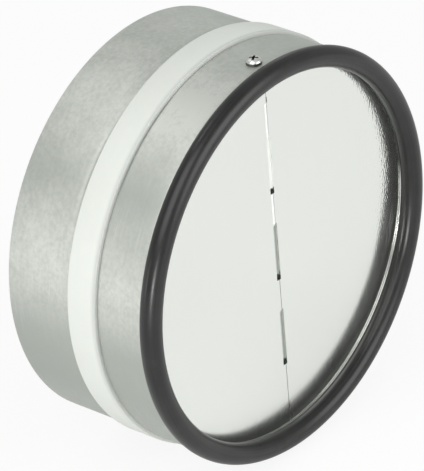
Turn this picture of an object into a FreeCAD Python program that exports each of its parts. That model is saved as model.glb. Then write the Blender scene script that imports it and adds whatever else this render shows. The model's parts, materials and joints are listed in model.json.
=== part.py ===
import FreeCAD, Part
import Sketcher
import math
import os

# Backdraft damper for a 150 mm round duct, in millimetres.
# The duct axis runs along Y: air comes in at the front (-Y), where the rubber ring is,
# and leaves at the rear (+Y). The hinge shaft stands upright along Z.
# The origin lies on the duct axis, just behind the white seal band, where the plain
# spigot that the next duct is pushed over begins.

os.makedirs("parts", exist_ok=True)
doc = FreeCAD.newDocument("backdraft_damper")
sheet = doc.addObject("Spreadsheet::Sheet", "Sizes")

cells = {
    # sleeve
    "sleeve_radius": "74.5",
    "sheet_gauge": "0.5",
    "sleeve_length": "60.1",
    "rear_rim": "27.5",
    "lip_width": "4.95",
    "bend_radius": "1.0",
    "seam_width": "0.4",
    "seam_depth": "0.2",
    "seam_reach": "0.5",
    "screw_hole": "1.7",
    # rubber ring
    "ring_inset": "2.24",
    "bead_seat": "2.9",
    "bead_radius": "3.95",
    # seal band
    "band_width": "12.5",
    "band_height": "1.25",
    "band_edge": "0.55",
    "glue_line": "0.02",
    "groove_depth": "0.6",
    "groove_slope": "0.5",
    # flaps
    "swing_gap": "1.6",
    "flap_gauge": "0.6",
    "rest_gap": "0.05",
    "butt_gap": "0.12",
    "set_back": "1.0",
    "running_gap": "0.05",
    "curl_turn": "285",
    "pitch_share": "0.48066",
    "tooth_length": "12.0",
    "slot_width": "1.3",
    "hinge_middle": "0.8",
    "play_above": "0.5",
    "slot_slant": "1.1",
    "slot_inset": "0.72",
    "play_below": "1.3",
    "hinge_top_inset": "12.2",
    "hinge_foot_inset": "10.2",
    "relief_length": "2.2",
    "relief_width": "0.5",
    # hinge shaft and screws
    "shaft_radius": "2.5",
    "shaft_end_gap": "0.05",
    "tapped_radius": "1.5",
    "tapped_depth": "10",
    "thread_gap": "0.05",
    "point_bevel": "0.4",
    "shank_length": "8.5",
    "head_radius": "2.85",
    "head_height": "2.1",
    "head_rim": "0.9",
    "recess_long": "3.3",
    "recess_wide": "0.85",
    "recess_depth": "1.2",
    # springs
    "wire_radius": "0.35",
    "leg_gap": "0.03",
    "coil_pitch": "0.8",
    "coil_turns": "5",
    "leg_reach": "17",
    "coil_top_inset": "9.2",
    "coil_foot_inset": "3.2",
}
derived = {
    "sleeve_bore": "=sleeve_radius - sheet_gauge",
    "lip_front": "=rear_rim - sleeve_length",
    "lip_rear": "=lip_front + sheet_gauge",
    "flap_front": "=lip_rear + rest_gap",
    "flap_rear": "=flap_front + flap_gauge",
    "curl_bore": "=shaft_radius + running_gap",
    "curl_outer": "=curl_bore + flap_gauge",
    "hinge_plane": "=flap_front + set_back + curl_outer",
    "coil_radius": "=hinge_plane - flap_rear - leg_gap - wire_radius",
    "lip_bore": "=sleeve_radius - lip_width",
    "ring_radius": "=sleeve_radius - ring_inset",
    "ring_plane": "=lip_front - bead_seat",
    "flap_radius": "=sleeve_bore - swing_gap",
    "knuckle_pitch": "=flap_radius * pitch_share",
    "slot_length": "=knuckle_pitch - tooth_length",
    "hinge_top": "=flap_radius - hinge_top_inset",
    "hinge_foot": "=hinge_foot_inset - flap_radius",
    "shaft_end": "=sleeve_bore - shaft_end_gap",
    "shank_radius": "=tapped_radius - thread_gap",
    "coil_lift": "=flap_radius - coil_top_inset",
    "coil_drop": "=coil_foot_inset - flap_radius",
}
row = 0
for name, value in list(cells.items()) + list(derived.items()):
    row += 1
    sheet.set("A" + str(row), name)
    sheet.set("B" + str(row), value)
    sheet.setAlias("B" + str(row), name)
    doc.recompute()


def size(name):
    return float(sheet.get(name))


def part_body(name):
    new = doc.addObject("PartDesign::Body", name)
    new.Label = name
    return new


def origin_part(owner, role):
    for feature in owner.Origin.OriginFeatures:
        if feature.Role == role:
            return feature
    raise ValueError(role)


def flat_sketch(owner, role, name):
    sketch = owner.newObject("Sketcher::SketchObject", name)
    sketch.AttachmentSupport = [(origin_part(owner, role), "")]
    sketch.MapMode = "FlatFace"
    return sketch


def point(x, y):
    return FreeCAD.Vector(x, y, 0)


def joined(sketch, count, first=0):
    for i in range(count):
        sketch.addConstraint(
            Sketcher.Constraint("Coincident", first + i, 2, first + (i + 1) % count, 1))


def lines(sketch, corners):
    first = sketch.GeometryCount
    for i in range(len(corners)):
        a = corners[i]
        b = corners[(i + 1) % len(corners)]
        sketch.addGeometry(Part.LineSegment(point(*a), point(*b)), False)
    joined(sketch, len(corners), first)
    return first


def sized(sketch, kind, where, name, expression):
    index = sketch.addConstraint(Sketcher.Constraint(kind, *where))
    sketch.renameConstraint(index, name)
    sketch.setExpression("Constraints." + name, expression)


def box_sketch(sketch, x0, y0, x1, y1):
    # a level rectangle whose left, lower, right and upper edges follow four expressions
    first = lines(sketch, [(x0[0], y0[0]), (x1[0], y0[0]), (x1[0], y1[0]), (x0[0], y1[0])])
    for i, kind in ((0, "Horizontal"), (1, "Vertical"), (2, "Horizontal"), (3, "Vertical")):
        sketch.addConstraint(Sketcher.Constraint(kind, first + i))
    tag = "e" + str(first)
    sized(sketch, "DistanceX", (-1, 1, first, 1, x0[0]), tag + "left", x0[1])
    sized(sketch, "DistanceY", (-1, 1, first, 1, y0[0]), tag + "low", y0[1])
    sized(sketch, "DistanceX", (-1, 1, first + 1, 2, x1[0]), tag + "right", x1[1])
    sized(sketch, "DistanceY", (-1, 1, first + 1, 2, y1[0]), tag + "high", y1[1])


def turned(owner, sketch, name):
    # a full turn of the sketch about the sketch's own upright axis
    solid = owner.newObject("PartDesign::Revolution", name)
    solid.Profile = sketch
    solid.ReferenceAxis = (sketch, ["V_Axis"])
    solid.Angle = 360
    doc.recompute()
    return solid


def padded(owner, sketch, name, length, reverse=False, middle=False):
    solid = owner.newObject("PartDesign::Pad", name)
    solid.Profile = sketch
    solid.setExpression("Length", length)
    solid.Reversed = reverse
    solid.Midplane = middle
    doc.recompute()
    return solid


def cut_through(owner, sketch, name):
    before = owner.Shape.Volume
    cut = owner.newObject("PartDesign::Pocket", name)
    cut.Profile = sketch
    cut.Type = 1
    cut.Midplane = True
    doc.recompute()
    if not owner.Shape.Volume < before - 1e-3:
        raise RuntimeError(name + " cuts nothing")
    return cut


# --- sleeve: rolled sheet, front edge turned in to a flat lip that the flaps close against
sleeve = part_body("sleeve")
wall = flat_sketch(sleeve, "XY_Plane", "sleeve_wall")
outer_r = size("sleeve_radius")
inner_r = size("sleeve_bore")
front = size("lip_front")
back = size("lip_rear")
rear = size("rear_rim")
bend = size("bend_radius")
small = bend - size("sheet_gauge")
wall.addGeometry(Part.LineSegment(point(size("lip_bore"), front), point(outer_r - bend, front)), False)
wall.addGeometry(Part.ArcOfCircle(
    Part.Circle(point(outer_r - bend, front + bend), FreeCAD.Vector(0, 0, 1), bend),
    -math.pi / 2, 0), False)
sink = size("groove_depth")
slope = size("groove_slope")
floor_start = -slope - size("band_width")
shoulder = floor_start - slope
# outside: front run, down into the band's rolled seat, along it, up again, and the rear spigot
walk = [
    (outer_r, front + bend), (outer_r, shoulder), (outer_r - sink, floor_start),
    (outer_r - sink, -slope), (outer_r, 0), (outer_r, rear), (inner_r, rear), (inner_r, 0),
    (inner_r - sink, -slope), (inner_r - sink, floor_start), (inner_r, shoulder),
    (inner_r, back + small)]
for i in range(len(walk) - 1):
    wall.addGeometry(Part.LineSegment(point(*walk[i]), point(*walk[i + 1])), False)
wall.addGeometry(Part.ArcOfCircle(
    Part.Circle(point(inner_r - small, back + small), FreeCAD.Vector(0, 0, 1), small),
    -math.pi / 2, 0), False)
wall.addGeometry(Part.LineSegment(point(inner_r - small, back), point(size("lip_bore"), back)), False)
wall.addGeometry(Part.LineSegment(point(size("lip_bore"), back), point(size("lip_bore"), front)), False)
for i in range(2, 12):
    wall.addConstraint(Sketcher.Constraint("Coincident", i, 2, i + 1, 1))
wall.addConstraint(Sketcher.Constraint("Coincident", 14, 2, 15, 1))
wall.addConstraint(Sketcher.Constraint("Coincident", 15, 2, 0, 1))
wall.addConstraint(Sketcher.Constraint("Tangent", 0, 2, 1, 1))
wall.addConstraint(Sketcher.Constraint("Tangent", 1, 2, 2, 1))
wall.addConstraint(Sketcher.Constraint("Tangent", 12, 2, 13, 2))
wall.addConstraint(Sketcher.Constraint("Tangent", 13, 1, 14, 1))
for i in (0, 7, 14):
    wall.addConstraint(Sketcher.Constraint("Horizontal", i))
for i in (2, 4, 6, 8, 10, 12, 15):
    wall.addConstraint(Sketcher.Constraint("Vertical", i))
wall.addConstraint(Sketcher.Constraint("PointOnObject", 6, 1, -1))
wall.addConstraint(Sketcher.Constraint("PointOnObject", 9, 1, -1))
sized(wall, "Radius", (1, bend), "bend", "Sizes.bend_radius")
sized(wall, "Radius", (13, small), "bend_inside", "Sizes.bend_radius - Sizes.sheet_gauge")
for i, name, start, expression in (
        (2, "front_out", outer_r, "Sizes.sleeve_radius"),
        (6, "rear_out", outer_r, "Sizes.sleeve_radius"),
        (8, "rear_in", inner_r, "Sizes.sleeve_bore"),
        (12, "front_in", inner_r, "Sizes.sleeve_bore"),
        (4, "seat_out", outer_r - sink, "Sizes.sleeve_radius - Sizes.groove_depth"),
        (10, "seat_in", inner_r - sink, "Sizes.sleeve_bore - Sizes.groove_depth"),
        (15, "lip_edge", size("lip_bore"), "Sizes.lip_bore")):
    sized(wall, "DistanceX", (-1, 1, i, 1, start), name, expression)
for i, name, start, expression in (
        (0, "lip_face", front, "Sizes.lip_front"),
        (15, "lip_back", back, "Sizes.lip_rear"),
        (7, "rim", rear, "Sizes.rear_rim"),
        (3, "shoulder_out", shoulder, "-Sizes.band_width - 2 * Sizes.groove_slope"),
        (12, "shoulder_in", shoulder, "-Sizes.band_width - 2 * Sizes.groove_slope"),
        (4, "floor_out", floor_start, "-Sizes.band_width - Sizes.groove_slope"),
        (11, "floor_in", floor_start, "-Sizes.band_width - Sizes.groove_slope"),
        (5, "floor_end_out", -slope, "-Sizes.groove_slope"),
        (10, "floor_end_in", -slope, "-Sizes.groove_slope")):
    sized(wall, "DistanceY", (-1, 1, i, 1, start), name, expression)
turned(sleeve, wall, "sleeve_turn")
holes = flat_sketch(sleeve, "XY_Plane", "sleeve_holes")
holes.addGeometry(Part.Circle(
    point(0, size("hinge_plane")), FreeCAD.Vector(0, 0, 1), size("screw_hole")), False)
holes.addConstraint(Sketcher.Constraint("PointOnObject", 0, 3, -2))
sized(holes, "Radius", (0, size("screw_hole")), "hole", "Sizes.screw_hole")
sized(holes, "DistanceY", (-1, 1, 0, 3, size("hinge_plane")), "hole_y", "Sizes.hinge_plane")
cut_through(sleeve, holes, "sleeve_hole_cut")
# the rolled sheet's butt seam, a fine groove low on the side away from the viewer
seam = flat_sketch(sleeve, "XZ_Plane", "sleeve_seam")
lean = math.radians(-55)
half_seam = size("seam_width") / 2
corners = []
for across, out in (
        (-half_seam, outer_r - size("seam_depth")), (half_seam, outer_r - size("seam_depth")),
        (half_seam, outer_r + size("seam_reach")), (-half_seam, outer_r + size("seam_reach"))):
    corners.append((out * math.cos(lean) - across * math.sin(lean),
                    out * math.sin(lean) + across * math.cos(lean)))
lines(seam, corners)
before = sleeve.Shape.Volume
seam_cut = sleeve.newObject("PartDesign::Pocket", "sleeve_seam_cut")
seam_cut.Profile = seam
seam_cut.Type = 1
seam_cut.Midplane = True
doc.recompute()
if not sleeve.Shape.Volume < before:
    raise RuntimeError("seam cuts nothing")

# --- rubber ring: a round bead with a flat back, seated on the lip's front face
ring = part_body("rubber_ring")
bead = flat_sketch(ring, "XY_Plane", "ring_bead")
flat = size("lip_front") - size("ring_plane")
half_angle = math.acos(flat / size("bead_radius"))
bead.addGeometry(Part.ArcOfCircle(
    Part.Circle(point(size("ring_radius"), size("ring_plane")), FreeCAD.Vector(0, 0, 1),
                size("bead_radius")),
    math.pi / 2 + half_angle, math.pi / 2 - half_angle + 2 * math.pi), False)
start = bead.Geometry[0].StartPoint
end = bead.Geometry[0].EndPoint
bead.addGeometry(Part.LineSegment(end, start), False)
bead.addConstraint(Sketcher.Constraint("Coincident", 0, 2, 1, 1))
bead.addConstraint(Sketcher.Constraint("Coincident", 1, 2, 0, 1))
bead.addConstraint(Sketcher.Constraint("Horizontal", 1))
sized(bead, "Radius", (0, size("bead_radius")), "bead", "Sizes.bead_radius")
sized(bead, "DistanceX", (-1, 1, 0, 3, size("ring_radius")), "middle", "Sizes.ring_radius")
sized(bead, "DistanceY", (-1, 1, 0, 3, size("ring_plane")), "plane", "Sizes.ring_plane")
sized(bead, "DistanceY", (-1, 1, 1, 1, size("lip_front")), "seat", "Sizes.lip_front")
turned(ring, bead, "ring_turn")

# --- seal band: a soft strip glued round the sleeve, its edges rounded
band = part_body("seal_band")
strip = flat_sketch(band, "XY_Plane", "band_strip")
box_sketch(
    strip,
    (outer_r - sink + size("glue_line"),
     "Sizes.sleeve_radius - Sizes.groove_depth + Sizes.glue_line"),
    (floor_start, "-Sizes.band_width - Sizes.groove_slope"),
    (outer_r + size("band_height"), "Sizes.sleeve_radius + Sizes.band_height"),
    (-slope, "-Sizes.groove_slope"))
band_turn = turned(band, strip, "band_turn")
edges = []
for i, edge in enumerate(band_turn.Shape.Edges):
    if isinstance(edge.Curve, Part.Circle):
        if abs(edge.Curve.Radius - outer_r - size("band_height")) < 1e-4:
            edges.append("Edge" + str(i + 1))
band_round = band.newObject("PartDesign::Fillet", "band_round")
band_round.Base = (band_turn, edges)
band_round.setExpression("Radius", "Sizes.band_edge")
doc.recompute()


# --- flaps: half discs of sheet. Strips of the straight edge step back behind the sheet
#     squarely and curl round the shaft as knuckles
def knuckle_profile(sketch, side, edge):
    # side is -1 for the left flap and +1 for the right one; edge is where its sheet ends
    face = size("flap_front")
    thick = size("flap_gauge")
    axis_y = size("hinge_plane")
    step = size("set_back")
    r_out = size("curl_outer")
    r_in = size("curl_bore")
    turn = math.radians(size("curl_turn"))
    tail_in = (side * r_in * math.sin(-turn), axis_y - r_in * math.cos(turn))
    tail_out = (side * r_out * math.sin(-turn), axis_y - r_out * math.cos(turn))
    half = turn / 2
    mid_out = (side * r_out * math.sin(-half), axis_y - r_out * math.cos(half))
    mid_in = (side * r_in * math.sin(-half), axis_y - r_in * math.cos(half))
    path = [
        (side * (edge + thick), face), (side * edge, face), (side * edge, face + step),
        (0, face + step)]
    for i in range(3):
        sketch.addGeometry(Part.LineSegment(point(*path[i]), point(*path[i + 1])), False)
    sketch.addGeometry(Part.Arc(point(*path[3]), point(*mid_out), point(*tail_out)), False)
    sketch.addGeometry(Part.LineSegment(point(*tail_out), point(*tail_in)), False)
    foot = (0, face + step + thick)
    sketch.addGeometry(Part.Arc(point(*tail_in), point(*mid_in), point(*foot)), False)
    heel = (side * (edge + thick), face + step + thick)
    sketch.addGeometry(Part.LineSegment(point(*foot), point(*heel)), False)
    sketch.addGeometry(Part.LineSegment(point(*heel), point(*path[0])), False)


def flap_disc(owner, side, tag):
    # half disc, its straight edge half a butt gap from the middle
    disc = flat_sketch(owner, "XZ_Plane", tag + "_disc")
    disc.AttachmentOffset = FreeCAD.Placement(
        FreeCAD.Vector(0, 0, -size("flap_front")), FreeCAD.Rotation())
    disc.setExpression("AttachmentOffset.Base.z", "-Sizes.flap_front")
    radius = size("flap_radius")
    gap = size("butt_gap")
    tip = math.sqrt(radius * radius - gap * gap)
    lean_in = math.asin(gap / radius)
    circle = Part.Circle(point(0, 0), FreeCAD.Vector(0, 0, 1), radius)
    if side < 0:
        disc.addGeometry(Part.ArcOfCircle(
            circle, math.pi / 2 + lean_in, 3 * math.pi / 2 - lean_in), False)
        disc.addGeometry(Part.LineSegment(point(-gap, -tip), point(-gap, tip)), False)
    else:
        disc.addGeometry(Part.ArcOfCircle(
            circle, -math.pi / 2 + lean_in, math.pi / 2 - lean_in), False)
        disc.addGeometry(Part.LineSegment(point(gap, tip), point(gap, -tip)), False)
    disc.addConstraint(Sketcher.Constraint("Coincident", 0, 2, 1, 1))
    disc.addConstraint(Sketcher.Constraint("Coincident", 1, 2, 0, 1))
    disc.addConstraint(Sketcher.Constraint("Coincident", 0, 3, -1, 1))
    disc.addConstraint(Sketcher.Constraint("Vertical", 1))
    sized(disc, "Radius", (0, radius), "radius", "Sizes.flap_radius")
    sized(disc, "DistanceX", (-1, 1, 1, 1, side * gap), "edge",
          "Sizes.butt_gap" if side > 0 else "-Sizes.butt_gap")
    # the sketch's own normal points to the front, so the sheet is laid down backwards
    padded(owner, disc, tag + "_sheet", "Sizes.flap_gauge", reverse=True)


def edge_cuts(owner, side, spans, tag, slant=0):
    # each span is (depth from the middle, low end, high end); the slant lowers its outer corner
    cut = flat_sketch(owner, "XZ_Plane", tag + "_notches")
    for depth, low, high in spans:
        far = -side * depth
        lines(cut, [
            (side * depth, low), (side * depth, high - slant), (0, high), (far, high), (far, low)])
    cut_through(owner, cut, tag + "_notch_cut")


def knuckles(owner, side, spans, tag, edge):
    for number, (low, high) in enumerate(spans):
        name = tag + "_knuckle_" + str(number + 1)
        curl = flat_sketch(owner, "XY_Plane", name + "_line")
        curl.AttachmentOffset = FreeCAD.Placement(FreeCAD.Vector(0, 0, low), FreeCAD.Rotation())
        knuckle_profile(curl, side, edge)
        solid = owner.newObject("PartDesign::Pad", name)
        solid.Profile = curl
        solid.Length = high - low
        doc.recompute()


pitch = size("knuckle_pitch")
half_slot = size("slot_length") / 2
middle = size("hinge_middle")
slot_spans = []
for count in (-1, 0, 1):
    slot_spans.append((middle + count * pitch - half_slot, middle + count * pitch + half_slot))
left_spans = [
    (size("hinge_foot"), slot_spans[0][0]),
    (slot_spans[0][1], slot_spans[1][0]),
    (slot_spans[1][1], slot_spans[2][0]),
    (slot_spans[2][1], size("hinge_top")),
]
right_spans = []
for low, high in slot_spans:
    right_spans.append((low + size("play_below"), high - size("play_above")))
relief = size("relief_length")

left_flap = part_body("left_flap")
flap_disc(left_flap, -1, "left")
for number, (low, high) in enumerate(slot_spans):
    edge_cuts(
        left_flap, -1, [(size("slot_width"), low, high)], "left_slot_" + str(number + 1),
        size("slot_slant"))
reliefs = [
    (size("relief_width"), size("hinge_top"), size("hinge_top") + relief),
    (size("relief_width"), size("hinge_foot") - relief, size("hinge_foot"))]
knuckles(left_flap, -1, left_spans, "left", size("butt_gap"))

right_flap = part_body("right_flap")
flap_disc(right_flap, 1, "right")
for number, (low, high) in enumerate(slot_spans):
    edge_cuts(
        right_flap, 1, [(size("slot_inset"), low, high)], "right_slot_" + str(number + 1))
for number, notch in enumerate(reliefs):
    edge_cuts(right_flap, 1, [notch], "right_relief_" + str(number + 1))
knuckles(right_flap, 1, right_spans, "right", size("slot_inset"))

# --- hinge shaft: a straight rod from wall to wall, tapped at both ends
shaft = part_body("hinge_shaft")
rod = flat_sketch(shaft, "XY_Plane", "shaft_rod")
rod.addGeometry(Part.Circle(
    point(0, size("hinge_plane")), FreeCAD.Vector(0, 0, 1), size("shaft_radius")), False)
rod.addConstraint(Sketcher.Constraint("PointOnObject", 0, 3, -2))
sized(rod, "Radius", (0, size("shaft_radius")), "rod", "Sizes.shaft_radius")
sized(rod, "DistanceY", (-1, 1, 0, 3, size("hinge_plane")), "rod_y", "Sizes.hinge_plane")
padded(shaft, rod, "shaft_bar", "2 * Sizes.shaft_end", middle=True)
for name, sign in (("shaft_tap_upper", 1), ("shaft_tap_lower", -1)):
    tap = flat_sketch(shaft, "XY_Plane", name + "_line")
    tap.AttachmentOffset = FreeCAD.Placement(
        FreeCAD.Vector(0, 0, sign * size("shaft_end")), FreeCAD.Rotation())
    if sign > 0:
        tap.setExpression("AttachmentOffset.Base.z", "Sizes.shaft_end")
    else:
        tap.setExpression("AttachmentOffset.Base.z", "-Sizes.shaft_end")
    tap.addGeometry(Part.Circle(
        point(0, size("hinge_plane")), FreeCAD.Vector(0, 0, 1), size("tapped_radius")), False)
    tap.addConstraint(Sketcher.Constraint("PointOnObject", 0, 3, -2))
    sized(tap, "Radius", (0, size("tapped_radius")), "tap", "Sizes.tapped_radius")
    sized(tap, "DistanceY", (-1, 1, 0, 3, size("hinge_plane")), "tap_y", "Sizes.hinge_plane")
    before = shaft.Shape.Volume
    bore = shaft.newObject("PartDesign::Pocket", name)
    bore.Profile = tap
    bore.setExpression("Length", "Sizes.tapped_depth")
    bore.Reversed = sign < 0
    doc.recompute()
    if not shaft.Shape.Volume < before - 1:
        raise RuntimeError(name + " cuts nothing")


# --- screws: pan head with a cross recess; the head bears on the sleeve's outside
def make_screw(name, upper):
    screw = part_body(name)
    turn_line = flat_sketch(screw, "XZ_Plane", name + "_line")
    r_head = size("head_radius")
    tall = size("head_height")
    rim = size("head_rim")
    shank = size("shank_radius")
    low = -size("shank_length")
    bevel = size("point_bevel")
    turn_line.addGeometry(Part.LineSegment(point(0, low), point(shank - bevel, low)), False)
    turn_line.addGeometry(Part.LineSegment(point(shank - bevel, low), point(shank, low + bevel)), False)
    turn_line.addGeometry(Part.LineSegment(point(shank, low + bevel), point(shank, 0)), False)
    turn_line.addGeometry(Part.LineSegment(point(shank, 0), point(r_head, 0)), False)
    turn_line.addGeometry(Part.LineSegment(point(r_head, 0), point(r_head, rim)), False)
    turn_line.addGeometry(Part.Arc(
        point(r_head, rim), point(r_head * 0.74, tall * 0.86), point(0, tall)), False)
    turn_line.addGeometry(Part.LineSegment(point(0, tall), point(0, low)), False)
    joined(turn_line, 7)
    turned(screw, turn_line, name + "_turn")
    cross = flat_sketch(screw, "XY_Plane", name + "_cross")
    cross.AttachmentOffset = FreeCAD.Placement(
        FreeCAD.Vector(0, 0, tall - size("recess_depth")), FreeCAD.Rotation())
    cross.setExpression("AttachmentOffset.Base.z", "Sizes.head_height - Sizes.recess_depth")
    long_half = size("recess_long") / 2
    wide = size("recess_wide") / 2
    lines(cross, [
        (-long_half, -wide), (-wide, -wide), (-wide, -long_half), (wide, -long_half),
        (wide, -wide), (long_half, -wide), (long_half, wide), (wide, wide),
        (wide, long_half), (-wide, long_half), (-wide, wide), (-long_half, wide)])
    before = screw.Shape.Volume
    recess = screw.newObject("PartDesign::Pocket", name + "_recess")
    recess.Profile = cross
    recess.Type = 1
    recess.Reversed = True
    doc.recompute()
    if not screw.Shape.Volume < before:
        raise RuntimeError(name + " recess is wrong")
    if upper:
        screw.Placement = FreeCAD.Placement(
            FreeCAD.Vector(0, size("hinge_plane"), outer_r),
            FreeCAD.Rotation(FreeCAD.Vector(0, 0, 1), 28))
        screw.setExpression("Placement.Base.z", "Sizes.sleeve_radius")
    else:
        screw.Placement = FreeCAD.Placement(
            FreeCAD.Vector(0, size("hinge_plane"), -outer_r),
            FreeCAD.Rotation(FreeCAD.Vector(1, 0, 0), 180))
        screw.setExpression("Placement.Base.z", "-Sizes.sleeve_radius")
    screw.setExpression("Placement.Base.y", "Sizes.hinge_plane")
    return screw


top_screw = make_screw("top_screw", True)
bottom_screw = make_screw("bottom_screw", False)


# --- torsion springs: a coil round the shaft, one leg behind each flap
def make_spring(name, level):
    spring = part_body(name)
    wire = flat_sketch(spring, "YZ_Plane", name + "_wire")
    radius = size("coil_radius")
    wire.addGeometry(Part.Circle(
        point(-radius, 0), FreeCAD.Vector(0, 0, 1), size("wire_radius")), False)
    wire.addConstraint(Sketcher.Constraint("PointOnObject", 0, 3, -1))
    sized(wire, "Radius", (0, size("wire_radius")), "wire", "Sizes.wire_radius")
    sized(wire, "DistanceX", (-1, 1, 0, 3, -radius), "coil", "-Sizes.coil_radius")
    coil = spring.newObject("PartDesign::AdditiveHelix", name + "_coil")
    coil.Profile = wire
    coil.ReferenceAxis = (origin_part(spring, "Z_Axis"), [""])
    coil.Mode = 0
    coil.setExpression("Pitch", "Sizes.coil_pitch")
    coil.setExpression("Height", "Sizes.coil_pitch * Sizes.coil_turns")
    doc.recompute()
    for tag, sign in (("left", -1), ("right", 1)):
        leg = flat_sketch(spring, "YZ_Plane", name + "_" + tag + "_end")
        lift = 0
        if sign > 0:
            lift = size("coil_pitch") * size("coil_turns")
        leg.addGeometry(Part.Circle(
            point(-radius, lift), FreeCAD.Vector(0, 0, 1), size("wire_radius")), False)
        padded(spring, leg, name + "_" + tag + "_leg", "Sizes.leg_reach", reverse=sign < 0)
    spring.Placement = FreeCAD.Placement(
        FreeCAD.Vector(0, size("hinge_plane"), level), FreeCAD.Rotation())
    spring.setExpression("Placement.Base.y", "Sizes.hinge_plane")
    return spring


upper_spring = make_spring("upper_spring", size("coil_lift"))
lower_spring = make_spring("lower_spring", size("coil_drop"))

doc.recompute()
nodes = [
    sleeve, ring, band, left_flap, right_flap, shaft, top_screw, bottom_screw,
    upper_spring, lower_spring]
for item in doc.Objects:
    state = item.State
    if "Invalid" in state or "Error" in state:
        raise RuntimeError(item.Name + " failed: " + str(state))
for node in nodes:
    shape = node.Shape
    if shape.isNull() or not shape.isValid():
        raise RuntimeError(node.Label + " has no valid shape")
    if len(shape.Solids) != 1:
        raise RuntimeError(node.Label + " has " + str(len(shape.Solids)) + " solids")
    box = shape.BoundBox
    print(node.Label, round(shape.Volume, 1), [round(v, 2) for v in (
        box.XMin, box.XMax, box.YMin, box.YMax, box.ZMin, box.ZMax)])
    shape.exportStep("parts/" + node.Label + ".step")
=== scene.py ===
# %% [markdown]
# A backdraft damper for a round air duct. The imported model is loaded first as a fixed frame:
# every piece made below sits where that frame says, in metres, with the duct axis along Y.
# Both flaps turn on one upright shaft, so one point gives the hinge axis.

# %% Load the frame
import json
import math
import bmesh
import bpy
from mathutils import Matrix, Vector


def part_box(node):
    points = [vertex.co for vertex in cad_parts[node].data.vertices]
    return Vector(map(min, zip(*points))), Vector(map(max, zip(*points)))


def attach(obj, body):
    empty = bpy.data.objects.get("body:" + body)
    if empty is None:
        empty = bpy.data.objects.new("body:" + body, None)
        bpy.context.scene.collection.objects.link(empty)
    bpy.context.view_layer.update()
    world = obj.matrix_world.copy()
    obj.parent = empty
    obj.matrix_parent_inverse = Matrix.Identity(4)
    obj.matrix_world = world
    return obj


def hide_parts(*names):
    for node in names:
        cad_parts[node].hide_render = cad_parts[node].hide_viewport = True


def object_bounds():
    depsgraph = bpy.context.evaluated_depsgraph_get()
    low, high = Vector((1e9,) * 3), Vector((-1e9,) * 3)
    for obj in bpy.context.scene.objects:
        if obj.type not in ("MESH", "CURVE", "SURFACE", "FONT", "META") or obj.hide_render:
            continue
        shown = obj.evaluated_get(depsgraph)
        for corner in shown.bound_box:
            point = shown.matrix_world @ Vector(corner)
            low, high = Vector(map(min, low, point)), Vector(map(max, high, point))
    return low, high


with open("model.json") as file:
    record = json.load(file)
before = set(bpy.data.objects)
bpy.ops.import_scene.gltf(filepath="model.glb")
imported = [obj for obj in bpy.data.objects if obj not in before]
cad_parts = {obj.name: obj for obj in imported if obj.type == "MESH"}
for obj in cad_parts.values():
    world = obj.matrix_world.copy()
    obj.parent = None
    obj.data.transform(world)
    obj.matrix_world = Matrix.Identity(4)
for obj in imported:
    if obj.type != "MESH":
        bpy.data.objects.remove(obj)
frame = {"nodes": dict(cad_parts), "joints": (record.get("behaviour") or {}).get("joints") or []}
cad_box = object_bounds()
nodes = frame["nodes"]
joints = {joint["name"]: joint for joint in frame["joints"]}
hinge = Vector(joints["left_hinge"]["pos_m"])
MM = 0.001
print("hinge axis at", tuple(round(v, 4) for v in hinge))
for name in sorted(nodes):
    lo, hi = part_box(name)
    print(name, [round(float(v) / MM, 1) for v in lo], [round(float(v) / MM, 1) for v in hi])

# %% [markdown]
# The camera. A product picture like this is taken from some distance with a long lens, which
# keeps circles close to true ellipses. The camera looks down at the front from the left, and
# leans a little, so the hinge line slopes in the picture. A camera could be aimed by
# constraints, but three written directions keep it exact.

# %% Camera
eye = Vector((-1.09406, -0.98937, 0.84667))
look = Vector((0.64328, 0.58060, -0.49909)).normalized()
lean = Vector((0.42537, 0.27099, 0.86350))
side = look.cross(lean).normalized()
lean = side.cross(look).normalized()
camera_data = bpy.data.cameras.new("camera")
camera_data.sensor_width = 36.0
camera_data.lens = 367.3
camera_data.clip_start = 0.05
camera_data.clip_end = 50.0
camera = bpy.data.objects.new("camera", camera_data)
turned = Matrix((side, lean, -look)).transposed()
camera.matrix_world = Matrix.Translation(eye) @ turned.to_4x4()
bpy.context.scene.collection.objects.link(camera)
bpy.context.scene.camera = camera
print("camera at", tuple(round(v, 3) for v in eye))

# %% [markdown]
# Shader maths is easier to read as an expression than as a chain of calls. One function adds
# any node. The small class after it wraps one socket of a material's node tree, so that
# a * b + 0.2 adds the Math nodes itself.

# %% A node, and a socket with arithmetic
def add_node(tree, kind, settings=None, values=None):
    # the node's settings come first, then the values or links of its sockets
    node = tree.nodes.new(kind)
    for key, value in (settings or {}).items():
        setattr(node, key, value)
    for key, value in (values or {}).items():
        socket = node.inputs[key]
        if isinstance(value, Wire):
            tree.links.new(value.socket, socket)
        elif socket.type == "RGBA":
            socket.default_value = (*value, 1.0)
        else:
            socket.default_value = value
    return {out.name: Wire(tree, out) for out in node.outputs if out.enabled}


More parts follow.
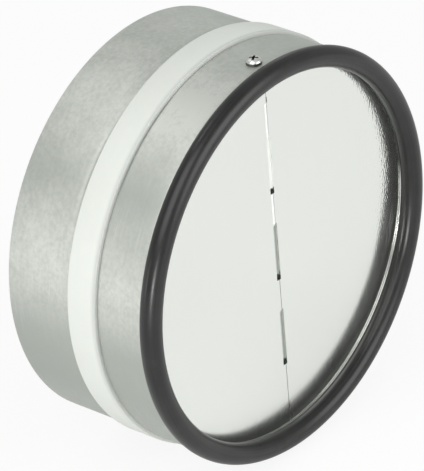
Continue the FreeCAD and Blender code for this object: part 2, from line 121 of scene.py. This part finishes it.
class Wire:
    def __init__(self, tree, socket):
        self.tree = tree
        self.socket = socket

    def math(self, operation, *others, clamp=False):
        settings = {"operation": operation, "use_clamp": clamp}
        values = dict(enumerate((self, *others)))
        return add_node(self.tree, "ShaderNodeMath", settings, values)["Value"]

    def __add__(self, other):
        return self.math("ADD", other)

    def __radd__(self, other):
        return self.math("ADD", other)

    def __sub__(self, other):
        return self.math("SUBTRACT", other)

    def __rsub__(self, other):
        return (self * -1.0) + other

    def __mul__(self, other):
        return self.math("MULTIPLY", other)

    def __rmul__(self, other):
        return self.math("MULTIPLY", other)

    def __truediv__(self, other):
        return self.math("DIVIDE", other)

    def clamp(self):
        return self.math("ADD", 0.0, clamp=True)

    def step(self, low, high):
        # 0 below low, 1 above high, smooth between them
        return add_node(
            self.tree, "ShaderNodeMapRange", {"interpolation_type": "SMOOTHSTEP"},
            {"Value": self, "From Min": low, "From Max": high})["Result"]

    def step_mm(self, low, high):
        # the same for a distance, with its limits in millimetres
        return self.step(low * MM, high * MM)

    def within_mm(self, low, rise, fall, high):
        # 1 from rise to fall, 0 outside low and high
        return self.step_mm(low, rise) * (1.0 - self.step_mm(fall, high))


print("node helper ready")

# %% [markdown]
# Every finish is one material. It starts from the same things: the Principled shader and the
# piece's Object coordinates, split into x, y and z. The colour is built up in layers: each
# cover call lays one more colour over what is there, as far as a mask says.

# %% A finish
COLOUR_FACTOR, COLOUR_A, COLOUR_B = 0, 6, 7    # the Mix node's sockets when it mixes colours


class Finish:
    def __init__(self, name):
        self.material = bpy.data.materials.new(name)
        self.material.use_nodes = True
        self.tree = self.material.node_tree
        self.shader = self.tree.nodes["Principled BSDF"]
        self.place = add_node(self.tree, "ShaderNodeTexCoord")["Object"]
        parts = add_node(self.tree, "ShaderNodeSeparateXYZ", None, {"Vector": self.place})
        self.x, self.y, self.z = parts["X"], parts["Y"], parts["Z"]
        self.colour = None

    def radius(self):
        # the distance from the duct's axis
        return (self.x * self.x + self.z * self.z).math("SQRT")

    def facing(self, degrees, radius):
        # 1 where the round wall faces that way, counted from the right over the top
        angle = math.radians(degrees)
        return (self.x * math.cos(angle) + self.z * math.sin(angle)) / radius

    def point(self, x, y, z):
        # coordinates squeezed by different amounts draw a pattern out one way
        return add_node(self.tree, "ShaderNodeCombineXYZ", None, {"X": x, "Y": y, "Z": z})["Vector"]

    def noise(self, where, scale, detail, rough=0.5):
        return add_node(
            self.tree, "ShaderNodeTexNoise", None,
            {"Vector": where, "Scale": scale, "Detail": detail, "Roughness": rough})["Fac"]

    def mix(self, factor, first, second):
        return add_node(
            self.tree, "ShaderNodeMix", {"data_type": "RGBA", "clamp_factor": True},
            {COLOUR_FACTOR: factor, COLOUR_A: first, COLOUR_B: second})["Result"]

    def cover(self, mask, colour):
        self.colour = self.mix(mask, self.colour, colour)
        self.feed("Base Color", self.colour)

    def feed(self, socket, value):
        if isinstance(value, Wire):
            self.tree.links.new(value.socket, self.shader.inputs[socket])
        else:
            self.shader.inputs[socket].default_value = value

    def bump(self, height, strength, distance):
        self.feed("Normal", add_node(
            self.tree, "ShaderNodeBump", None,
            {"Strength": strength, "Distance": distance * MM, "Height": height})["Normal"])


print("finish helper ready")

# %% [markdown]
# Galvanised sheet. Steel sheet is dipped in zinc, and rolling it into a tube leaves it a little
# uneven, so its reflections break into soft light and dark zones; these zones are painted into
# the colour as painted highlight and painted shade at set angles round the sleeve. Handling adds
# hair-fine lines round the sleeve. Patterns on Object coordinates make the rest: broad zones,
# smaller clouds, a fine grain, and a noise squeezed along Y for the lines. A picture texture
# would need a seam, and a procedural pattern doesn't.

# %% Galvanised finish
BAND_FRONT, BAND_REAR = -13.0, -0.5            # the band's edges along the duct, in mm
SEAM_AT, SHADE_SIDE_AT = -55.0, 126.0               # degrees round the sleeve
ZINC_DARK, ZINC_LIGHT, ZINC_UNDERSIDE_SHADE = (0.49, 0.515, 0.48), (0.72, 0.735, 0.695), (0.36, 0.375, 0.35)
SCRATCH, SEAM, CORNER_SHADE = (0.80, 0.81, 0.78), (0.24, 0.25, 0.245), (0.20, 0.205, 0.195)
LIP_HIGHLIGHT, LIP_SHADE = (0.90, 0.90, 0.88), (0.09, 0.092, 0.088)


def galvanised_finish():
    sheet = Finish("galvanised_sheet")
    x, y, z, radius = sheet.x, sheet.y, sheet.z, sheet.radius()
    # soft zones, longer along the duct than round it
    zones = sheet.noise(sheet.point(x * 26.0, y * 12.0, z * 26.0), 1.0, 2.0, 0.45)
    clouds = sheet.noise(sheet.place, 110.0, 4.0, 0.65)
    grain = sheet.noise(sheet.place, 620.0, 3.0, 0.6)
    # hair-fine lines round the sleeve
    lines = sheet.noise(sheet.point(x * 45.0, y * 1500.0, z * 45.0), 1.0, 3.0, 0.7)
    fine = lines.step(0.52, 0.74) * zones.step(0.40, 0.62)
    # painted highlight and painted shade zones, lighter or darker where the sheet faces the lamps
    # or turns from them: the degrees round the sleeve, and how much lighter it is there, on both
    # sides of the band, only in front of it, or only behind it
    front = 1.0 - y.step_mm(BAND_FRONT - 0.5, BAND_FRONT + 0.5)
    light_zones = (
        (118.0, 0.42), (163.0, 0.44), (192.0, -0.26),
        (104.0, front * 0.26), (123.0, front * 0.10), (143.0, front * -0.34),
        (86.0, (1.0 - front) * 0.28))
    painted_light = sum(sheet.facing(at, radius).step(0.91, 0.995) * lift for at, lift in light_zones)
    # grain, clouds and lines show most in the painted highlight zones
    detail = clouds.step(0.3, 0.7) * 0.26 + lines * 0.24 + grain.step(0.25, 0.75) * 0.38 - 0.44
    tone = painted_light + zones.step(0.32, 0.68) * 0.10 + detail * (0.55 + painted_light * 1.5) + 0.25
    sheet.colour = sheet.mix(tone, ZINC_DARK, ZINC_LIGHT)
    # painted shade: the sheet is darker towards the bottom
    sheet.cover((1.0 - z.step_mm(-60.0, 20.0)) * 0.30, ZINC_UNDERSIDE_SHADE)
    sheet.cover(fine * 0.22, SCRATCH)
    # the rolled sheet's butt seam, low on the right
    angle = math.radians(SEAM_AT)
    beside = (x * math.sin(angle) - z * math.cos(angle)).math("ABSOLUTE")
    seam = (1.0 - beside.step_mm(0.0, 0.6)) * (1.0 - z.step_mm(-30.0, -20.0))
    sheet.cover(seam.clamp() * 0.55, SEAM)
    # painted shade in the corner along the band's front edge, most of it high on the left
    corner = y.within_mm(BAND_FRONT - 1.3, BAND_FRONT - 0.6, BAND_FRONT - 0.2, BAND_FRONT + 0.2)
    shade_side = sheet.facing(SHADE_SIDE_AT, radius).step(0.955, 0.985)
    sheet.cover(corner * (0.08 + shade_side * 0.42), CORNER_SHADE)
    # the lip's cut edge is burnished bright by the right flap, less so high up and near the foot
    # painted highlight along the lip's cut edge, with painted shade on it high up and towards the
    # left; the cut edge is also glossier
    lip_edge = 1.0 - radius.step_mm(69.7, 69.9)
    lip_unlit = (z.step_mm(-4.0, 5.0) + 0.55 * (1.0 - x.step_mm(10.0, 26.0))).clamp()
    sheet.cover(lip_edge, sheet.mix(lip_unlit, LIP_HIGHLIGHT, LIP_SHADE))
    sheet.feed("Metallic", 0.82)
    rough = (0.44 + clouds * 0.10 + grain * 0.04 - fine * 0.08) * (1.0 - lip_edge * 0.62)
    sheet.feed("Roughness", rough.clamp())
    sheet.bump(zones * 0.8 + clouds * 0.50 + grain * 0.24 + lines * 0.16, 0.20, 0.4)
    return sheet


galvanised = galvanised_finish()
print("made", galvanised.material.name)

# %% [markdown]
# Flap sheet. The half discs are bright rolled aluminium: nearly white when a pale room is
# reflected in them, with hair-fine rolling lines and a fine grain that breaks up the dark
# reflection of the ring. The curled tabs' painted shade and painted highlight, a painted
# highlight beside the butt line and the painted shadow at the slots' lower ends are masks on
# the sheet's own coordinates.

# %% Flap finish
SLOT_FEET = (24.2, -10.6, -45.4)               # the slots' lower ends along the hinge, in mm
BESIDE_SHAFT = (0.000009, 0.000013)            # square of 3 to 3.6 mm, in square metres
FLAP_DARK, FLAP_LIGHT = (0.865, 0.88, 0.845), (0.935, 0.95, 0.915)
# painted shade and painted highlight for the tabs, painted shadow for the slots' feet
TAB_SHADE, TAB_HIGHLIGHT, SHADOW_BLACK = (0.60, 0.615, 0.59), (0.98, 0.99, 0.97), (0.012, 0.012, 0.011)


def shadow_at_slot_feet(height):
    # 1 at the lower end of each slot along the hinge, where a painted shadow lies
    return sum((height - foot * MM).within_mm(-0.8, -0.6, 1.4, 1.6) for foot in SLOT_FEET)


def flap_finish():
    sheet = Finish("flap_sheet")
    x, y, z, radius = sheet.x, sheet.y, sheet.z, sheet.radius()
    lines = sheet.noise(sheet.point(x * 1100.0, y * 200.0, z * 45.0), 1.0, 3.0, 0.6)
    waves = sheet.noise(sheet.place, 12.0, 1.0)
    # the rolls' fine grain breaks the edge of a reflection into specks
    specks = sheet.noise(sheet.point(x * 1500.0, y * 1500.0, z * 700.0), 1.0, 1.0)
    sheet.colour = sheet.mix(lines * 0.4 + waves * 0.6, FLAP_DARK, FLAP_LIGHT)
    # the curled tabs lie behind the sheet; painted shade darkens them low down, a painted highlight
    # whitens them high up
    near = 1.0 - (x * x).step(*BESIDE_SHAFT)
    upper = z.step_mm(20.0, 26.0)
    tab = ((y - hinge.y).step_mm(-3.7, -3.3) * near).clamp()
    sheet.cover(tab, sheet.mix(upper, TAB_SHADE, TAB_HIGHLIGHT))
    # painted highlight on the left disc's sheared edge above the middle
    edge_highlight = x.within_mm(-1.15, -1.05, -0.06, 0.0) * z.within_mm(11.5, 12.5, 59.5, 60.5)
    sheet.cover(edge_highlight, TAB_HIGHLIGHT)
    # painted shadow at the slots' lower ends, beside the shaft
    foot_shadow = shadow_at_slot_feet(z) * (y - hinge.y).step_mm(-4.1, -4.0) * near
    sheet.cover(foot_shadow, SHADOW_BLACK)
    metal = 0.985 - tab * upper * 0.84 - edge_highlight * 0.84
    sheet.feed("Metallic", (metal * (1.0 - foot_shadow)).clamp())
    # the grain is coarser above the middle and blurs into haze below it
    above = z.step_mm(-34.0, -4.0)
    coarse = 0.5 + above * 1.2
    sheet.feed("Roughness", (0.15 - above * 0.08 + lines * 0.10).clamp())
    # the shears rolled the discs' round edges back a little, low down and most on the left
    rolled = radius.step_mm(57.5, 74.5) * (1.0 - z.step_mm(-30.0, 10.0))
    rolled = rolled * (34.0 - x.step_mm(-20.0, 12.0) * 17.0)
    sheet.bump(waves * 0.9 + lines * 0.07 + specks * coarse - rolled, 0.10, 0.6)
    return sheet


flap_sheet = flap_finish()
print("made", flap_sheet.material.name)

# %% [markdown]
# Black rubber. An extruded bead is dark grey rather than black, a little dusty, with a dull
# sheen. A fine noise roughens it, and faint lines run round it from the die.

# %% Rubber finish
def rubber_finish():
    rubber = Finish("black_rubber")
    dust = rubber.noise(rubber.place, 90.0, 4.0, 0.65)
    pores = rubber.noise(rubber.place, 1600.0, 2.0)
    drawn = rubber.point(rubber.radius() * 2600.0, rubber.y * 2600.0, rubber.z * 12.0)
    lines = rubber.noise(drawn, 1.0, 2.0)
    tone = dust.step(0.35, 0.80) * 0.40 + pores * 0.15 + lines.step(0.35, 0.75) * 0.45
    rubber.feed("Base Color", rubber.mix(tone, (0.002, 0.002, 0.002), (0.020, 0.020, 0.019)))
    rubber.feed("Specular IOR Level", 0.56)
    rubber.feed("Roughness", (0.20 + dust * 0.13 + lines * 0.08).clamp())
    rubber.bump(pores * 0.5 + lines * 0.5, 0.18, 0.12)
    return rubber


black_rubber = rubber_finish()
print("made", black_rubber.material.name)

# %% [markdown]
# The white band is a soft foamed strip. It is matt and shows a fine grain, and its front edge
# has a painted shade, soft instead of a sharp white rim.

# %% Seal band finish
FOAM_CLEAN, FOAM_SOILED = (0.765, 0.785, 0.748), (0.727, 0.746, 0.706)
FOAM_EDGE_SHADE = (0.56, 0.575, 0.55)


def band_finish():
    foam = Finish("white_seal")
    grain = foam.noise(foam.place, 1300.0, 3.0)
    soil = foam.noise(foam.place, 55.0, 3.0)
    foam.colour = foam.mix(soil.step(0.35, 0.75) * 0.6 + grain * 0.4, FOAM_CLEAN, FOAM_SOILED)
    # painted shade along the front edge, least underneath
    edge = 1.0 - foam.y.step_mm(BAND_FRONT - 0.2, BAND_FRONT + 2.2)
    foam.cover(edge * foam.z.step_mm(-60.0, -10.0), FOAM_EDGE_SHADE)
    foam.feed("Roughness", (0.50 + grain * 0.15).clamp())
    foam.feed("Specular IOR Level", 0.35)
    foam.bump(grain, 0.10, 0.1)
    return foam


white_seal = band_finish()
print("made", white_seal.material.name)

# %% [markdown]
# Three small steel finishes: the drawn rod, the bright zinc of the screws and the plain spring
# wire. One function makes them, because they differ only in colour, gloss and line direction.

# %% Small steel finishes
def steel_finish(name, dark, light, rough, squeeze):
    steel = Finish(name)
    drawn = steel.point(steel.x * squeeze[0], steel.y * squeeze[1], steel.z * squeeze[2])
    lines = steel.noise(drawn, 1.0, 4.0, 0.6)
    steel.colour = steel.mix(lines.step(0.25, 0.75), dark, light)
    steel.feed("Base Color", steel.colour)
    steel.feed("Metallic", 1.0)
    steel.feed("Roughness", (rough + lines * 0.14).clamp())
    steel.bump(lines, 0.10, 0.1)
    print("made", steel.material.name)
    return steel


rod_steel = steel_finish(
    "drawn_rod", (0.30, 0.30, 0.30), (0.48, 0.48, 0.47), 0.30, (1500, 1500, 60))
screw_zinc = steel_finish(
    "screw_zinc", (0.66, 0.67, 0.65), (0.90, 0.90, 0.88), 0.26, (900, 900, 900))
spring_wire = steel_finish(
    "spring_wire", (0.36, 0.36, 0.35), (0.55, 0.55, 0.54), 0.26, (500, 500, 900))

# %% [markdown]
# Painted shade comes last, as one more layer over the clean steel. The screws get painted shade
# in their cross recess and under the head's edge, and the rod a painted shadow where the slots
# show it.

# %% Painted shade on the screws and painted shadow on the rod
RECESS_SHADE = (0.035, 0.035, 0.032)


def painted_recess_shade(steel):
    # painted shade in the cross recess and under the head's edge
    off = steel.y - hinge.y
    radius = (steel.x * steel.x + off * off).math("SQRT")
    height = steel.z.math("ABSOLUTE")
    recess = (1.0 - radius.step_mm(1.68, 1.76)) * (1.0 - height.step_mm(76.1, 76.3))
    edge = radius.step_mm(2.62, 2.76) * (1.0 - height.step_mm(75.2, 75.6))
    steel.cover((recess + edge * 0.85).clamp(), RECESS_SHADE)


def painted_slot_shadow(steel):
    # painted shadow on the rod where the slots show it
    foot_shadow = shadow_at_slot_feet(steel.z).clamp()
    steel.cover(foot_shadow, SHADOW_BLACK)
    steel.feed("Metallic", (1.0 - foot_shadow).clamp())


painted_recess_shade(screw_zinc)
painted_slot_shadow(rod_steel)
print("painted_shade_on", screw_zinc.material.name, rod_steel.material.name)

# %% [markdown]
# The flaps, shaft and screws already have the right shape in the frame, so they only get
# their finishes. The half discs' round edges lie behind the lip, out of sight.

# %% Finishes for the frame's own nodes
def dress(node, finish):
    mesh = nodes[node].data
    mesh.materials.clear()
    mesh.materials.append(finish.material)
    print("dressed", node)


dress("left_flap", flap_sheet)
dress("right_flap", flap_sheet)
dress("hinge_shaft", rod_steel)
dress("top_screw", screw_zinc)
dress("bottom_screw", screw_zinc)

# %% [markdown]
# Round pieces made by a spin. The sleeve, the rubber ring and the band are all one outline
# turned about the duct axis. The frame's own meshes have them too, but their facets would show
# in the outline and in the reflections, so finer ones take their place. A few vertices give the
# outline, and bmesh's spin turns it in many steps; use_merge closes the last step to the first.

# %% Spin helper
ROUND_STEPS = 240                              # steps of a full spin
SHARP = math.radians(40)                       # an edge sharper than this isn't shaded smooth
WELD = 1e-7                                    # metres


def as_piece(name, build, material):
    # turns a finished bmesh into an object with one material
    mesh = bpy.data.meshes.new(name)
    build.to_mesh(mesh)
    build.free()
    mesh.materials.append(material)
    piece = bpy.data.objects.new(name, mesh)
    bpy.context.scene.collection.objects.link(piece)
    return piece


def spun(name, outline, finish, node):
    # outline: a closed list of (radius, y) in mm
    build = bmesh.new()
    ends = [build.verts.new((radius * MM, y * MM, 0.0)) for radius, y in outline]
    rim = [build.edges.new(pair) for pair in zip(ends, ends[1:] + ends[:1])]
    bmesh.ops.spin(
        build, geom=ends + rim, cent=(0, 0, 0), axis=(0, 1, 0), angle=2 * math.pi,
        steps=ROUND_STEPS, use_merge=True, use_duplicate=False)
    bmesh.ops.remove_doubles(build, verts=build.verts, dist=WELD)
    bmesh.ops.recalc_face_normals(build, faces=build.faces)
    for face in build.faces:
        face.smooth = True
    for edge in build.edges:
        edge.smooth = len(edge.link_faces) == 2 and edge.calc_face_angle(0) < SHARP
    volume = build.calc_volume(signed=True)
    piece = as_piece(name, build, finish.material)
    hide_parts(node)
    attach(piece, "frame")
    print(name, len(piece.data.polygons), "faces", round(volume / MM ** 3), "mm3")


def arc(centre, radius, start, end, steps):
    # points on a round corner of an outline, in degrees
    angles = [math.radians(start + (end - start) * i / steps) for i in range(steps + 1)]
    return [(centre[0] + radius * math.cos(a), centre[1] + radius * math.sin(a)) for a in angles]


# %% [markdown]
# The sleeve: 0.5 mm sheet rolled to 149 mm across. Its front edge is turned in to the flat lip
# that the flaps close against, and a shallow rolled seat keeps the band in its place. Behind
# the front edge the wall swells out in a soft taper, and a faint groove runs behind the band.
# The rear rim's cut edges are broken by a tiny round.

# %% Sleeve
R_OUT, R_IN, SHEET = 74.5, 74.0, 0.5           # the wall's radii and the sheet, in mm
FRONT, REAR, LIP_R = -32.6, 27.5, 69.55        # the ends along the duct, the lip's inner radius
SINK, RAMP = 0.6, 0.5                          # how deep the band's seat is, how long its slopes
BEND_OUT, BEND_IN = 1.0, 0.5                   # the lip's bend, outside and inside
LIP_ROUND, RIM_ROUND = 0.24, 0.2               # rounds of the cut edges
TAPER_TOP = 0.3                                # the wall is this much smaller at the bend
TAPER = ((0.24, 1.6), (0.17, 2.4), (0.06, 4.0), (0.0, 5.6))             # smaller, behind FRONT
GROOVE = ((0.10, 0.5), (0.22, 1.4), (0.20, 1.7), (0.06, 2.4), (0.0, 3.0))    # behind BAND_REAR
seat_out, seat_in = R_OUT - SINK, R_IN - SINK
sleeve_outline = (
    arc((LIP_R + LIP_ROUND, FRONT + LIP_ROUND), LIP_ROUND, 180, 270, 5)
    + arc((R_OUT - TAPER_TOP - BEND_OUT, FRONT + BEND_OUT), BEND_OUT, -90, 0, 8)
    + [(R_OUT - smaller, FRONT + behind) for smaller, behind in TAPER]
    + [(R_OUT, BAND_FRONT - RAMP), (seat_out, BAND_FRONT), (seat_out, BAND_REAR)]
    + [(R_OUT - smaller, BAND_REAR + behind) for smaller, behind in GROOVE]
    + arc((R_OUT - RIM_ROUND, REAR - RIM_ROUND), RIM_ROUND, 0, 90, 3)
    + arc((R_IN + RIM_ROUND, REAR - RIM_ROUND), RIM_ROUND, 90, 180, 3)
    + [(R_IN, BAND_REAR + RAMP), (seat_in, BAND_REAR)]
    + [(seat_in, BAND_FRONT), (R_IN, BAND_FRONT - RAMP)]
    + arc((R_IN - BEND_IN, FRONT + SHEET + BEND_IN), BEND_IN, 0, -90, 4)
    + arc((LIP_R + LIP_ROUND, FRONT + SHEET - LIP_ROUND), LIP_ROUND, 90, 180, 5))
spun("sleeve_shell", sleeve_outline, galvanised, "sleeve")

# %% [markdown]
# The rubber ring: a round bead with a flat back, seated on the lip.

# %% Rubber ring
BEAD, RING_R, RING_Y = 3.95, 72.26, -35.5      # the bead's radius and its centre
flat = math.degrees(math.acos((FRONT - RING_Y) / BEAD))
ring_outline = arc((RING_R, RING_Y), BEAD, 90 + flat, 450 - flat, 30)
spun("rubber_bead", ring_outline, black_rubber, "rubber_ring")

# %% [markdown]
# The seal band: a strip with rounded edges in the sleeve's seat, a little proud of the wall.

# %% Seal band
BAND_R, EDGE, GLUE = 75.75, 0.55, 0.02         # outside, the edges' round, the gap below it
band_outline = (
    [(seat_out + GLUE, BAND_FRONT)]
    + arc((BAND_R - EDGE, BAND_FRONT + EDGE), EDGE, -90, 0, 5)
    + arc((BAND_R - EDGE, BAND_REAR - EDGE), EDGE, 0, 90, 5)
    + [(seat_out + GLUE, BAND_REAR)])
spun("seal_strip", band_outline, white_seal, "seal_band")

# %% [markdown]
# The springs sit on the shaft above and below the knuckles. Each is a coil with one straight
# leg behind either flap. When the flaps open, the coil stays and the legs swing, so the coil
# rides on the sleeve's body and each leg rides on its flap. A spin with a rise per turn makes
# the coil from one small circle.

# %% Springs
WIRE, LEG_WIRE, COIL, PITCH, REACH = 0.31, 0.28, 3.17, 0.8, 17.0      # radii, rise, leg, in mm
TURNS, TURN_STEPS, WIRE_SIDES = 5, 24, 10


def spring_piece(name, build, node, body):
    bmesh.ops.recalc_face_normals(build, faces=build.faces)
    for face in build.faces:
        face.smooth = True
    piece = as_piece(name, build, spring_wire.material)
    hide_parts(node)
    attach(piece, body)
    print(name, len(piece.data.polygons), "faces on", body)


def spring(node, level):
    # level: the height of the coil's lower end, in mm
    start = Vector((0, hinge.y / MM - COIL, level)) * MM
    sideways = Matrix.Rotation(math.radians(90), 4, "Y")
    coil = bmesh.new()
    bmesh.ops.create_circle(
        coil, cap_ends=False, segments=WIRE_SIDES, radius=WIRE * MM,
        matrix=Matrix.Translation(start) @ sideways)
    steps = TURN_STEPS * TURNS
    bmesh.ops.spin(
        coil, geom=coil.verts[:] + coil.edges[:], cent=hinge, axis=(0, 0, 1),
        dvec=(0, 0, PITCH * TURNS / steps * MM), angle=2 * math.pi * TURNS, steps=steps,
        use_merge=False, use_duplicate=False)
    bmesh.ops.holes_fill(coil, edges=coil.edges, sides=0)
    spring_piece(node + "_coil", coil, node, "frame")
    for name, way, rise in (("left", -1, 0), ("right", 1, PITCH * TURNS)):
        leg = bmesh.new()
        middle = start + Vector((way * REACH / 2, 0, rise)) * MM
        bmesh.ops.create_cone(
            leg, cap_ends=True, cap_tris=False, segments=WIRE_SIDES, radius1=LEG_WIRE * MM,
            radius2=LEG_WIRE * MM, depth=REACH * MM,
            matrix=Matrix.Translation(middle) @ sideways)
        spring_piece(node + "_" + name + "_leg", leg, node, name + "_flap")


spring("upper_spring", 63.2)
spring("lower_spring", -69.2)

# %% [markdown]
# The floor. The picture was taken on white. The camera sees the floor mostly as plain white,
# because its paint glows for camera rays, and only the object's soft shadow is left on it.
# More light on the object would whiten the floor too, but it would bleach the metal.

# %% Floor
FLOOR_SIZE, FLOOR_GAP = 6.0, 0.0005            # half its width and its gap below, in metres
WHITE = (1.0, 1.0, 1.0)


def shown(tree, share, plain, bright, output):
    # gives each ray its share of the bright shader, and the plain one for the rest
    first = Wire(tree, plain.outputs[0])
    mixed = add_node(tree, "ShaderNodeMixShader", None, {0: share, 1: first, 2: bright})["Shader"]
    tree.links.new(mixed.socket, tree.nodes[output].inputs["Surface"])


floor_paint = bpy.data.materials.new("floor_white")
floor_paint.use_nodes = True
floor_tree = floor_paint.node_tree
paper = floor_tree.nodes["Principled BSDF"]
paper.inputs["Base Color"].default_value = (0.92, 0.92, 0.92, 1.0)
paper.inputs["Roughness"].default_value = 0.9
paper.inputs["Specular IOR Level"].default_value = 0.1
glow = add_node(floor_tree, "ShaderNodeEmission", None, {"Color": WHITE, "Strength": 1.0})
rays = add_node(floor_tree, "ShaderNodeLightPath")
seen = (rays["Is Camera Ray"] + rays["Is Transmission Ray"]) * 0.88 + rays["Is Glossy Ray"] * 0.15
shown(floor_tree, seen.clamp(), paper, glow["Emission"], "Material Output")

low = float(cad_box[0][2])
floor_build = bmesh.new()
bmesh.ops.create_grid(
    floor_build, x_segments=1, y_segments=1, size=FLOOR_SIZE,
    matrix=Matrix.Translation((0, 0, low - FLOOR_GAP)))
floor = as_piece("floor", floor_build, floor_paint)
print("floor at", round(low, 4))

# %% [markdown]
# The light. Large soft lights stood all round, so the metal reflects white nearly everywhere.
# The world is pale and even, and a broad soft lamp above left and one in front give the metal
# its gentle bright and dark zones. Four small lamps, three behind and one low at the left,
# lift the sleeve's far side and its left edge.

# %% World and lamps
world = bpy.data.worlds.new("studio")
bpy.context.scene.world = world
world.use_nodes = True
sky = world.node_tree.nodes["Background"]
sky.inputs["Color"].default_value = (0.80, 0.82, 0.80, 1.0)
sky.inputs["Strength"].default_value = 0.64
backdrop = add_node(
    world.node_tree, "ShaderNodeBackground", None, {"Color": WHITE, "Strength": 1.0})
rays = add_node(world.node_tree, "ShaderNodeLightPath")
shown(world.node_tree, rays["Is Camera Ray"], sky, backdrop["Background"], "World Output")


def soft_lamp(name, place, size, power):
    # a soft square or oblong lamp in metres and watts, aimed at the middle of the damper
    data = bpy.data.lights.new(name, "AREA")
    data.shape = "RECTANGLE"
    data.size, data.size_y = size
    data.energy = power
    lamp = bpy.data.objects.new(name, data)
    lamp.location = place
    lamp.rotation_mode = "QUATERNION"
    lamp.rotation_quaternion = (-Vector(place)).to_track_quat("-Z", "Y")
    bpy.context.scene.collection.objects.link(lamp)
    print("lamp", name, power, "W")


soft_lamp("lamp_above_left", (-0.9, -0.2, 1.0), (1.1, 1.1), 7.0)
soft_lamp("lamp_front", (0.3, -1.3, 0.5), (1.2, 1.0), 8.0)
soft_lamp("strip_behind_top", (-0.10, 0.75, 1.05), (0.3, 0.3), 0.6)
soft_lamp("strip_behind_left", (-1.05, 0.75, 0.03), (0.2, 0.2), 0.6)
soft_lamp("strip_behind_right", (0.94, 0.75, 0.49), (0.3, 0.3), 0.18)
soft_lamp("strip_low_left", (-1.09, -0.66, 0.02), (0.17, 0.17), 3.4)

# %% [markdown]
# The picture's colours are written as they should appear, so the plain Standard view is set.

# %% View and finish
bpy.context.scene.view_settings.view_transform = "Standard"
